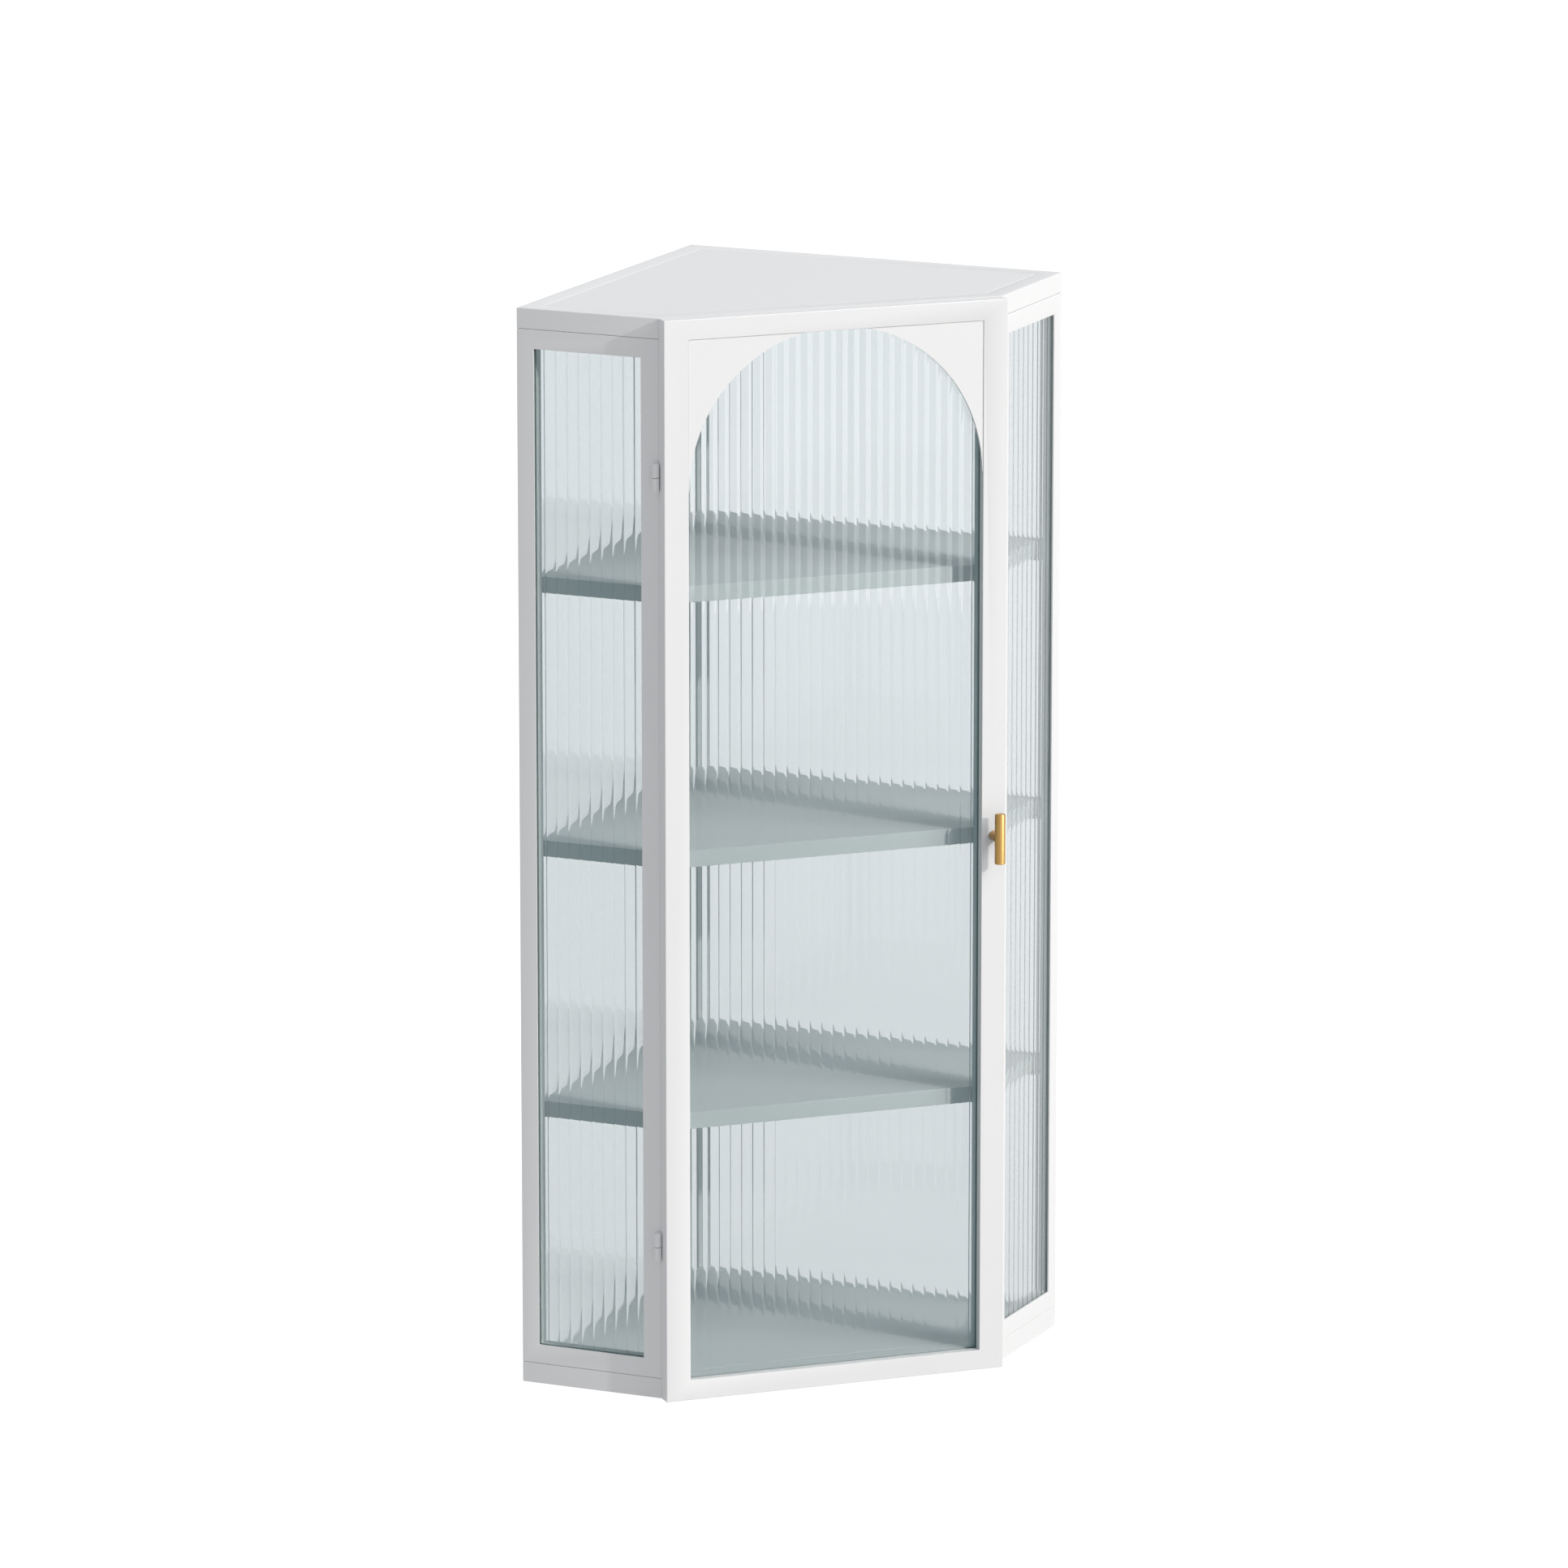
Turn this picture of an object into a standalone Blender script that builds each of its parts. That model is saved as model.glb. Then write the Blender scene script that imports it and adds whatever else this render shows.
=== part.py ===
"""A corner wall cabinet: a five-sided painted steel case with a fluted glass door under an arched head.

The room corner is at the back and the door faces -Y. The plan is a square with its front corner cut off,
so the two walls and the two end panels meet at right angles and the door crosses them at 45 degrees.
Each end panel is drawn flat in its own frame: X runs from the wall to the front corner, Y runs across
its thickness, and an empty at the wall edge turns it into place.
"""

import math

import bmesh
import bpy
from mathutils import Matrix, Vector

# The case, in metres
cabinet_height = 1.070
wall_side = 0.400
end_panel_depth = 0.150

# Clearances and the overrun of every cutter
fit_gap = 0.0003
cutter_overrun = 0.002
weld_distance = 0.000001

# Top and bottom caps: a folded channel round a lift-out tray
cap_height = 0.020
cap_rail_width = 0.020
cap_sheet = 0.0015
cap_ledge = 0.006
tray_sheet = 0.0012
wall_fixing_radius = 0.00275
wall_fixing_from_end = 0.080

# End panels: a welded frame with a lip in front of the glass
side_thickness = 0.018
side_lip = 0.002
front_stile_face = 0.019
rear_stile_face = 0.018
side_rail_face = 0.019
side_glass_cover = 0.004
landing_width = 0.025
landing_depth = 0.010
tube_wall = 0.002
end_plate = 0.003

# Fluted glass
glass_thickness = 0.004
flute_pitch = 0.012
flute_hollow = 0.00035
flute_rim = 0.00015
flute_rim_power = 10
flute_facets = 8

# Rear post and the grooves that hold the back panes
post_side = 0.018
post_chamfer = 0.006
groove_from_wall = 0.002
groove_depth = 0.005
back_pane_engagement = 0.004

# Shelves: folded trays on pegs
shelf_count = 3
shelf_thickness = 0.016
shelf_sheet = 0.0012
shelf_side_clearance = 0.003
shelf_front_clearance = 0.0043
shelf_back_clearance = 0.0034
peg_radius = 0.002
peg_head_radius = 0.003
peg_depth = 0.005
peg_reach = 0.009

# Door
door_thickness = 0.015
door_swing_gap = 0.0007
door_stile_face = 0.025
door_rail_face = 0.020
door_ledge_depth = 0.0092
door_glass_cover = 0.005
arch_setback = 0.001
arch_plate = 0.003
arch_tip = 0.0005
arch_flat = 0.063
arch_segments = 20

# Lift-off bullet hinges
hinge_barrel_radius = 0.00375
hinge_barrel_length = 0.029
hinge_from_end = 0.154
hinge_split = 0.0005
hinge_tip_radius = 0.0024
hinge_tip_height = 0.0018
hinge_pin_radius = 0.002
hinge_pin_depth = 0.010

# T-shaped knob
knob_height = 0.540
knob_from_edge = 0.0126
knob_bar_radius = 0.0053
knob_bar_length = 0.050
knob_bar_round = 0.0012
knob_round_steps = 3
knob_standoff = 0.017
knob_stem_radius = 0.005
knob_spigot_radius = 0.002
knob_spigot_length = 0.004
knob_screw_radius = 0.002
knob_screw_engagement = 0.006
knob_screw_head_radius = 0.0035
knob_screw_head = 0.0025

# Push-in magnetic catch
catch_height = 0.600
catch_body_radius = 0.004
catch_body_length = 0.008
catch_magnet_radius = 0.003
catch_magnet_length = 0.006
strike_radius = 0.005
strike_thickness = 0.001

# Cap bolts
bolt_radius = 0.0025
bolt_length = 0.014
bolt_head_radius = 0.00425
bolt_head = 0.003
bolt_from_wall = 0.007
bolt_from_front = 0.007
bolt_from_post_faces = 0.007

# Facets round small turned pieces
turned_steps = 16
hole_segments = 16

# Plan of the case, with the room corner at the back; the share is the sine of the door's 45 degrees
diagonal_share = math.sqrt(0.5)
front_depth = (wall_side + end_panel_depth) * diagonal_share
door_half_width = (wall_side - end_panel_depth) * diagonal_share
door_front_from_corner = front_depth + door_swing_gap + door_thickness
total_depth = door_front_from_corner + knob_standoff + knob_bar_radius
corner = Vector((0, total_depth / 2))
left_wall_edge = corner + Vector((-wall_side, -wall_side)) * diagonal_share
right_wall_edge = corner + Vector((wall_side, -wall_side)) * diagonal_share
left_front = corner + Vector((-door_half_width, -front_depth))
right_front = corner + Vector((door_half_width, -front_depth))
case_plan = [corner, left_wall_edge, left_front, right_front, right_wall_edge]
front_y = left_front.y
door_back_y = front_y - door_swing_gap
door_front_y = door_back_y - door_thickness

# Heights that several pieces share
case_bottom = cap_height + fit_gap
case_top = cabinet_height - cap_height - fit_gap
bay_height = (cabinet_height - 2 * cap_height - shelf_count * shelf_thickness) / (shelf_count + 1)
shelf_bottoms = [
    cap_height + bay_height * (level + 1) + shelf_thickness * level for level in range(shelf_count)
]
shelf_names = ["lower", "middle", "upper"]

# The hinge axis stands clear of the end panel's face and of the door's edge alike
hinge_offset = hinge_barrel_radius + fit_gap
hinge_axis = left_front + Vector((-hinge_offset, -hinge_offset * (math.sqrt(2) - 1)))
hinge_heights = {"lower": hinge_from_end, "upper": cabinet_height - hinge_from_end}

# Grooves for the back panes, measured from the wall
groove_width = glass_thickness + 2 * fit_gap
rear_stile_body = rear_stile_face - side_glass_cover
front_stile_body = front_stile_face - side_glass_cover

knob_x = door_half_width - knob_from_edge
catch_x = door_half_width - landing_width / 2


def start_collections():
    """Empties the file and makes one collection for the cabinet and one for its cutters."""
    for thing in list(bpy.data.objects):
        bpy.data.objects.remove(thing, do_unlink=True)
    for old in list(bpy.data.collections):
        bpy.data.collections.remove(old)
    made = [bpy.data.collections.new(name) for name in ("corner_wall_cabinet", "cutters")]
    for collection in made:
        bpy.context.scene.collection.children.link(collection)
    return made


def finish(name, colour, roughness, metallic=0.0, transmission=0.0):
    """A plain Principled material with the piece's colour."""
    made = bpy.data.materials.new(name)
    made.use_nodes = True
    made.diffuse_color = (*colour, 1.0)
    surface = made.node_tree.nodes["Principled BSDF"]
    surface.inputs["Base Color"].default_value = (*colour, 1.0)
    surface.inputs["Roughness"].default_value = roughness
    surface.inputs["Metallic"].default_value = metallic
    surface.inputs["Transmission Weight"].default_value = transmission
    return made


def inset(outline, distance):
    """The outline with every edge moved inwards by one distance, its corners kept sharp."""
    following = outline[1:] + outline[:1]
    area = sum(a[0] * b[1] - b[0] * a[1] for a, b in zip(outline, following))
    turn = math.copysign(1.0, area)
    moved = []
    for before, here, after in zip(outline[-1:] + outline[:-1], outline, following):
        into = (Vector(here) - Vector(before)).normalized()
        out = (Vector(after) - Vector(here)).normalized()
        into_normal = Vector((-into.y, into.x)) * turn
        out_normal = Vector((-out.y, out.x)) * turn
        spread = 1 + into_normal.dot(out_normal)
        moved.append(Vector(here) + (into_normal + out_normal) * (distance / spread))
    return moved


def rectangle(low_x, high_x, low_y, high_y):
    """The four corners of a rectangle, anticlockwise."""
    return [(low_x, low_y), (high_x, low_y), (high_x, high_y), (low_x, high_y)]


def add_object(name, mesh, parent=None, material=None, cutter=False):
    """Links a mesh as a piece of the cabinet, or as a hidden cutter."""
    made = bpy.data.objects.new(name, mesh)
    (cutters if cutter else cabinet).objects.link(made)
    made.parent = parent
    if cutter:
        made.hide_render = True
        made.display_type = "WIRE"
    else:
        mesh.materials.clear()
        mesh.materials.append(material)
    return made


def prism(name, outlines, low, high, **placing):
    """Flat outlines, the later ones as holes, extruded upwards from one height to another."""
    curve = bpy.data.curves.new(name, "CURVE")
    curve.dimensions = "2D"
    curve.fill_mode = "BOTH"
    curve.extrude = (high - low) / 2
    for outline in outlines:
        spline = curve.splines.new("POLY")
        spline.points.add(len(outline) - 1)
        for spline_point, place in zip(spline.points, outline):
            spline_point.co = (place[0], place[1], 0, 1)
        spline.use_cyclic_u = True
    drawn = bpy.data.objects.new(name + "_outline", curve)
    bpy.context.scene.collection.objects.link(drawn)
    bpy.context.view_layer.update()
    seen = drawn.evaluated_get(bpy.context.evaluated_depsgraph_get())
    mesh = bpy.data.meshes.new_from_object(seen)
    bpy.data.objects.remove(drawn)
    shape = bmesh.new()
    shape.from_mesh(mesh)
    bmesh.ops.remove_doubles(shape, verts=shape.verts, dist=weld_distance)
    bmesh.ops.translate(shape, verts=shape.verts, vec=(0, 0, (low + high) / 2))
    bmesh.ops.recalc_face_normals(shape, faces=shape.faces)
    shape.to_mesh(mesh)
    shape.free()
    mesh.name = name
    return add_object(name, mesh, **placing)


def box(name, low, high, **placing):
    """A box between two opposite corners."""
    low, high = Vector(low), Vector(high)
    shape = bmesh.new()
    bmesh.ops.create_cube(shape, size=1)
    sides = high - low
    bmesh.ops.scale(shape, verts=shape.verts, vec=sides)
    bmesh.ops.translate(shape, verts=shape.verts, vec=(low + high) / 2)
    mesh = bpy.data.meshes.new(name)
    shape.to_mesh(mesh)
    shape.free()
    return add_object(name, mesh, **placing)


def rod(name, radius, start, end, **placing):
    """A plain cylinder from one point to another."""
    start, end = Vector(start), Vector(end)
    along = end - start
    shape = bmesh.new()
    bmesh.ops.create_cone(
        shape,
        cap_ends=True,
        segments=hole_segments,
        radius1=radius,
        radius2=radius,
        depth=along.length,
    )
    turn = along.to_track_quat("Z", "Y").to_matrix().to_4x4()
    bmesh.ops.transform(shape, verts=shape.verts, matrix=Matrix.Translation((start + end) / 2) @ turn)
    mesh = bpy.data.meshes.new(name)
    shape.to_mesh(mesh)
    shape.free()
    return add_object(name, mesh, **placing)


def turned(name, profile, location=(0, 0, 0), rotation=(0, 0, 0), **placing):
    """A profile of radius and height, top to bottom down its outer side, turned about Z with a Screw."""
    mesh = bpy.data.meshes.new(name)
    shape = bmesh.new()
    line = [shape.verts.new((radius, 0, height)) for radius, height in profile]
    for upper, lower in zip(line, line[1:]):
        shape.edges.new((upper, lower))
    shape.to_mesh(mesh)
    shape.free()
    made = add_object(name, mesh, **placing)
    made.location = location
    made.rotation_euler = rotation
    screw = made.modifiers.new("turn", "SCREW")
    screw.steps = turned_steps
    screw.render_steps = turned_steps
    screw.use_merge_vertices = True
    screw.merge_threshold = weld_distance
    screw.use_smooth_shade = True
    return made


def boolean(target, other, operation):
    """An exact Boolean with the other object, which is kept as a live cutter."""
    step = target.modifiers.new(other.name, "BOOLEAN")
    step.operation = operation
    step.solver = "EXACT"
    step.object = other


def cut(target, *tools):
    """Takes each tool away from the target."""
    for tool in tools:
        boolean(target, tool, "DIFFERENCE")


def drill(target, hole):
    """Adds a hole to those that are taken out of a piece together, in one exact Boolean."""
    name = target.name + "_holes"
    group = bpy.data.collections.get(name)
    if group is None:
        group = bpy.data.collections.new(name)
        cutters.children.link(group)
        step = target.modifiers.new(name, "BOOLEAN")
        step.operation = "DIFFERENCE"
        step.solver = "EXACT"
        step.operand_type = "COLLECTION"
        step.collection = group
    group.objects.link(hole)


def ring_cap(name, base):
    """A channel folded round the plan, open inwards, whose lower flange runs on as a ledge for the tray."""
    cap = prism(name, [case_plan], base, base + cap_height, material=paint)
    void = prism(
        name + "_channel",
        [inset(case_plan, cap_sheet)],
        base + cap_sheet,
        base + cap_height - cap_sheet,
        cutter=True,
    )
    pocket = prism(
        name + "_pocket",
        [inset(case_plan, cap_rail_width)],
        base + cap_height / 2,
        base + cap_height + cutter_overrun,
        cutter=True,
    )
    opening = prism(
        name + "_opening",
        [inset(case_plan, cap_rail_width + cap_ledge)],
        base - cutter_overrun,
        base + cap_height / 2,
        cutter=True,
    )
    cut(cap, void, pocket, opening)
    return cap


def cap_tray(name, base):
    """A folded lid that stands on the cap's ledge, flush with the top of the channel."""
    rim = inset(case_plan, cap_rail_width + fit_gap)
    top = base + cap_height
    tray = prism(name, [rim], base + cap_sheet + fit_gap, top, material=paint)
    hollow = prism(name + "_hollow", [inset(rim, tray_sheet)], base, top - tray_sheet, cutter=True)
    cut(tray, hollow)
    return tray


def wall_fixing_holes(cap, base):
    """Screw holes through the cap's two rear webs, reached from inside once the tray is lifted out."""
    height = base + cap_height / 2
    for wall, edge in (("left", left_wall_edge), ("right", right_wall_edge)):
        along = (edge - corner).normalized()
        across = Vector((along.y, -along.x)).to_3d() * cutter_overrun
        for place, distance in (
            ("rear", wall_fixing_from_end),
            ("front", wall_side - wall_fixing_from_end),
        ):
            centre = (corner + along * distance).to_3d() + Vector((0, 0, height))
            hole = rod(
                f"{cap.name}_{wall}_{place}_fixing",
                wall_fixing_radius,
                centre - across,
                centre + across,
                cutter=True,
            )
            drill(cap, hole)


def fluted_outline(width, low_y, hand=1):
    """The plan of a fluted pane: flat at low_y, with a whole number of hollows across its other face."""
    flutes = max(1, round(width / flute_pitch))
    pitch = width / flutes
    ridge = low_y + hand * glass_thickness
    outline = [(0, low_y)]
    for step in range(flutes * flute_facets + 1):
        flute, facet = divmod(step, flute_facets)
        # From one ridge at -1 to the next at 1, with the points gathered towards the steep rims
        share = math.sin((facet / flute_facets - 0.5) * math.pi)
        fall = flute_hollow * (1 - share**2) + flute_rim * (1 - share**flute_rim_power)
        outline.append(((flute + (1 + share) / 2) * pitch, ridge - hand * fall))
    outline.append((width, low_y))
    return outline


def shifted(outline, distance):
    """The outline moved along X."""
    return [(place[0] + distance, place[1]) for place in outline]


def side_plan(hand):
    """The end panel's plan, from the wall edge to the landing behind the door's stile."""
    front = Vector((end_panel_depth, 0))
    along_front = Vector((diagonal_share, diagonal_share))
    into_case = Vector((-diagonal_share, diagonal_share))
    landing_end = front + along_front * landing_width
    landing_back = landing_end + into_case * landing_depth
    # The landing's back face runs parallel to the front until it meets the panel's inner face
    back_run = (landing_back.y - side_thickness) / diagonal_share
    inner_corner = landing_back - along_front * back_run
    points = [
        Vector((0, 0)),
        front,
        landing_end,
        landing_back,
        inner_corner,
        Vector((0, side_thickness)),
    ]
    return [Vector((point.x, point.y * hand)) for point in points]


def side_frame(side, hand, panel):
    """One end panel: stiles and rails welded round a rebated window, with tapped end plates."""
    plan = side_plan(hand)
    name = side + "_side_frame"
    frame = prism(name, [plan], case_bottom, case_top, parent=panel, material=paint)
    inner = side_thickness * hand
    beyond = (side_thickness + cutter_overrun) * hand
    lip = side_lip * hand

    def tool(label, low, high):
        lows = [min(a, b) for a, b in zip(low, high)]
        highs = [max(a, b) for a, b in zip(low, high)]
        cut(frame, box(f"{name}_{label}", lows, highs, parent=panel, cutter=True))

    window_high = end_panel_depth - front_stile_face
    tool(
        "window",
        (rear_stile_face, -cutter_overrun * hand, case_bottom + side_rail_face),
        (window_high, beyond, case_top - side_rail_face),
    )
    rail_body = side_rail_face - side_glass_cover
    tool(
        "rebate",
        (rear_stile_body, lip, case_bottom + rail_body),
        (end_panel_depth - front_stile_body, beyond, case_top - rail_body),
    )
    groove_bottom = (side_thickness - groove_depth) * hand
    tool(
        "groove",
        (groove_from_wall, groove_bottom, case_bottom - cutter_overrun),
        (groove_from_wall + groove_width, beyond, case_top + cutter_overrun),
    )

    rear_section = [
        (0, 0),
        (rear_stile_body, 0),
        (rear_stile_body, groove_bottom),
        (0, groove_bottom),
    ]
    body_edge = end_panel_depth - front_stile_body
    front_section = [Vector((body_edge, 0)), *plan[1:5], Vector((body_edge, inner))]
    for label, section in (("rear", rear_section), ("front", front_section)):
        core = prism(
            f"{name}_{label}_core",
            [inset(section, tube_wall)],
            case_bottom + end_plate,
            case_top - end_plate,
            parent=panel,
            cutter=True,
        )
        cut(frame, core)
    return frame


def side_pane(side, hand, panel):
    """The fluted pane behind the lip, flat side out, and the bead that holds it in the rebate."""
    width = end_panel_depth - front_stile_body - rear_stile_body - 2 * fit_gap
    rail_body = side_rail_face - side_glass_cover
    low = case_bottom + rail_body + fit_gap
    high = case_top - rail_body - fit_gap
    glass_y = (side_lip + fit_gap) * hand
    outline = shifted(fluted_outline(width, glass_y, hand), rear_stile_body + fit_gap)
    prism(side + "_side_glass", [outline], low, high, parent=panel, material=glass)

    # The bead is a rectangular ring standing up behind the glass, drawn flat and turned upright
    bead_front = side_lip + glass_thickness + 2 * fit_gap
    outer = rectangle(
        rear_stile_body + fit_gap, end_panel_depth - front_stile_body - fit_gap, low, high
    )
    inner = rectangle(
        rear_stile_face,
        end_panel_depth - front_stile_face,
        case_bottom + side_rail_face,
        case_top - side_rail_face,
    )
    name = side + "_side_bead"
    bead = prism(name, [outer, inner], bead_front, side_thickness, parent=panel, material=bead_rubber)
    upright(bead, hand)


def upright(piece, hand):
    """Turns a mesh drawn in X and Y up into X and Z, with its thickness along Y times the hand."""
    turn = Matrix(((1, 0, 0, 0), (0, 0, hand, 0), (0, 1, 0, 0), (0, 0, 0, 1)))
    piece.data.transform(turn)
    if turn.determinant() < 0:
        piece.data.flip_normals()


def end_panel(side, hand, edge, turn):
    """One glazed end panel with the empties, peg holes and bolts that belong to it."""
    panel = bpy.data.objects.new(side + "_panel_frame", None)
    cabinet.objects.link(panel)
    panel.parent = case_body
    panel.location = edge.to_3d()
    panel.rotation_euler = (0, 0, turn)
    frame = side_frame(side, hand, panel)
    side_pane(side, hand, panel)

    groove_edge = groove_from_wall + groove_width
    peg_places = {
        "rear": (groove_edge + rear_stile_body) / 2,
        "front": end_panel_depth - front_stile_body / 2,
    }
    for label, place in peg_places.items():
        for level, shelf_bottom in zip(shelf_names, shelf_bottoms):
            height = shelf_bottom - fit_gap - peg_head_radius
            mouth = Vector((place, side_thickness * hand, height))
            inwards = Vector((0, -hand, 0))
            name = f"{level}_peg_{side}_{label}"
            hole = rod(
                name + "_hole",
                peg_radius + fit_gap,
                mouth + inwards * (peg_depth + fit_gap),
                mouth - inwards * cutter_overrun,
                parent=panel,
                cutter=True,
            )
            drill(frame, hole)
            shelf_peg(name, mouth, (-hand * math.pi / 2, 0, 0), panel)

    bolt_places = {
        "rear": (bolt_from_wall, bolt_from_wall * hand),
        "front": (end_panel_depth - bolt_from_front, side_thickness / 2 * hand),
    }
    for label, place in bolt_places.items():
        cap_bolts(f"{side}_{label}", place, frame, panel)


def shelf_peg(name, mouth, rotation, parent):
    """A turned peg: a shank in the hole and a thicker head that carries the shelf."""
    head_foot = fit_gap
    profile = [
        (0, peg_reach),
        (peg_head_radius, peg_reach),
        (peg_head_radius, head_foot),
        (peg_radius, head_foot),
        (peg_radius, -peg_depth),
        (0, -peg_depth),
    ]
    turned(name, profile, mouth, rotation, parent=parent, material=steel)


def cap_bolts(label, place, held, parent):
    """A bolt at the head and foot of an upright, from inside each cap's channel into its end plate."""
    spot = Vector((*place, 0))
    shank_top = -fit_gap
    profile = [
        (0, bolt_head),
        (bolt_head_radius, bolt_head),
        (bolt_head_radius, shank_top + fit_gap),
        (bolt_radius, shank_top + fit_gap),
        (bolt_radius, -bolt_length),
        (0, -bolt_length),
    ]
    top_flange = cabinet_height - cap_height + cap_sheet + fit_gap
    bottom_flange = cap_height - cap_sheet - fit_gap
    hole_radius = bolt_radius + fit_gap
    up = Vector((0, 0, 1))
    for cap, flange, rotation, side in (
        (top_cap, top_flange, (0, 0, 0), 1),
        (bottom_cap, bottom_flange, (math.pi, 0, 0), -1),
    ):
        level = "top" if side > 0 else "bottom"
        seat = spot + up * flange
        hole = rod(
            f"{level}_bolt_{label}_hole",
            hole_radius,
            seat + up * side * (bolt_head / 2),
            seat - up * side * (bolt_length + fit_gap),
            parent=parent,
            cutter=True,
        )
        drill(cap, hole)
        drill(held, hole)
        turned(f"{level}_bolt_{label}", profile, seat, rotation, parent=parent, material=steel)


def rear_post():
    """A chamfered tube in the room corner, grooved on two faces for the back panes."""
    far = post_side
    near = post_side - groove_depth
    start = groove_from_wall
    end = groove_from_wall + groove_width
    cut_back = post_side - post_chamfer
    one_side = [(far, 0), (far, start), (near, start), (near, end), (far, end), (far, cut_back)]
    other_side = [(y, x) for x, y in reversed(one_side)]
    section = [(0, 0), *one_side, *other_side]
    post = prism("rear_post", [section], case_bottom, case_top, parent=post_frame, material=paint)
    core = prism(
        "rear_post_core",
        [rectangle(tube_wall, near - tube_wall, tube_wall, near - tube_wall)],
        case_bottom + end_plate,
        case_top - end_plate,
        parent=post_frame,
        cutter=True,
    )
    cut(post, core)
    middle = (post_side + cut_back) / 2
    for level, shelf_bottom in zip(shelf_names, shelf_bottoms):
        height = shelf_bottom - fit_gap - peg_head_radius
        mouth = Vector((middle, middle, height))
        outwards = Vector((diagonal_share, diagonal_share, 0))
        hole = rod(
            f"{level}_peg_post_hole",
            peg_radius + fit_gap,
            mouth - outwards * (peg_depth + fit_gap),
            mouth + outwards * cutter_overrun,
            parent=post_frame,
            cutter=True,
        )
        drill(post, hole)
        shelf_peg(f"{level}_peg_post", mouth, (0, math.pi / 2, math.pi / 4), post_frame)
    cap_bolts("post", (bolt_from_post_faces, bolt_from_post_faces), post, post_frame)


def back_pane(side, hand, edge, turn):
    """A fluted pane along one wall, flat side to the wall, its upright edges in the two grooves."""
    holder = bpy.data.objects.new(side + "_back_frame", None)
    cabinet.objects.link(holder)
    holder.parent = case_body
    holder.location = edge.to_3d()
    holder.rotation_euler = (0, 0, turn)
    start = side_thickness - back_pane_engagement
    width = wall_side - start - (post_side - back_pane_engagement)
    flat_y = (groove_from_wall + fit_gap) * hand
    outline = shifted(fluted_outline(width, flat_y, hand), start)
    prism(side + "_back_glass", [outline], case_bottom, case_top, parent=holder, material=glass)


def shelf_plan():
    """The shelf's outline: the case's plan drawn in to clear the panels, the door and the rear post."""
    from_side = side_thickness + shelf_side_clearance
    from_wall = groove_from_wall + groove_width + shelf_back_clearance
    from_front = landing_depth + shelf_front_clearance
    from_corner = (2 * post_side - post_chamfer) * diagonal_share + shelf_side_clearance
    # The right half's corners, measured from the room corner: post, wall end and front
    side_reach = wall_side - from_side
    front = front_depth - from_front
    half = [
        (from_corner - from_wall / diagonal_share, -from_corner),
        ((side_reach - from_wall) * diagonal_share, -(side_reach + from_wall) * diagonal_share),
        (side_reach / diagonal_share - front, -front),
    ]
    mirrored = [(-x, y) for x, y in reversed(half)]
    return [(corner.x + x, corner.y + y) for x, y in half + mirrored]


def shelf(level, base):
    """A folded tray, open underneath, that stands on its pegs."""
    plan = shelf_plan()
    top = base + shelf_thickness
    tray = prism(f"{level}_shelf", [plan], base, top, material=paint)
    hollow = prism(
        f"{level}_shelf_hollow",
        [inset(plan, shelf_sheet)],
        base - cutter_overrun,
        top - shelf_sheet,
        cutter=True,
    )
    cut(tray, hollow)


def hinge(level, height):
    """A bullet hinge: a lower knuckle on the case, a loose pin, and an upper knuckle on the door."""
    split = hinge_split / 2
    tip = hinge_barrel_length / 2
    shoulder = tip - hinge_tip_height
    bore = hinge_pin_radius + fit_gap
    bore_end = split + hinge_pin_depth + fit_gap
    chamfer = hinge_split / 2
    upper = [
        (0, tip),
        (hinge_tip_radius, tip),
        (hinge_barrel_radius, shoulder),
        (hinge_barrel_radius, split + chamfer),
        (hinge_barrel_radius - chamfer, split),
        (bore, split),
        (bore, bore_end),
        (0, bore_end),
    ]
    lower = [(radius, -place) for radius, place in reversed(upper)]
    pin_end = split + hinge_pin_depth
    pin = [
        (0, pin_end),
        (hinge_pin_radius, pin_end),
        (hinge_pin_radius, -pin_end),
        (0, -pin_end),
    ]
    place = (0, 0, height)
    turned(f"{level}_hinge_door_knuckle", upper, place, parent=door_body, material=paint)
    case_place = (hinge_axis.x, hinge_axis.y, height)
    turned(f"{level}_hinge_case_knuckle", lower, case_place, parent=case_body, material=paint)
    turned(f"{level}_hinge_pin", pin, case_place, parent=case_body, material=steel)


def door_piece(name, outlines, depth_from, depth_to, **placing):
    """A flat piece of the door, drawn in X and Z and set between two depths behind its front face."""
    piece = prism(name, outlines, depth_from, depth_to, parent=door_body, **placing)
    upright(piece, 1)
    piece.location = (-hinge_axis.x, door_front_y - hinge_axis.y, 0)
    return piece


def door_frame():
    """Stiles and rails welded from tube, with a ledge in front of the glass and a rebate behind it."""
    outside = rectangle(-door_half_width, door_half_width, 0, cabinet_height)
    window = rectangle(
        -door_half_width + door_stile_face,
        door_half_width - door_stile_face,
        door_rail_face,
        cabinet_height - door_rail_face,
    )
    rebate = inset(window, -door_glass_cover)
    frame = door_piece("door_frame", [outside, window], 0, door_thickness, material=paint)
    rebate_tool = door_piece(
        "door_frame_rebate",
        [rebate],
        door_ledge_depth,
        door_thickness + cutter_overrun,
        cutter=True,
    )
    core = door_piece(
        "door_frame_core",
        [inset(outside, tube_wall), inset(rebate, -tube_wall)],
        tube_wall,
        door_thickness - tube_wall,
        cutter=True,
    )
    cut(frame, rebate_tool, core)
    return frame


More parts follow.
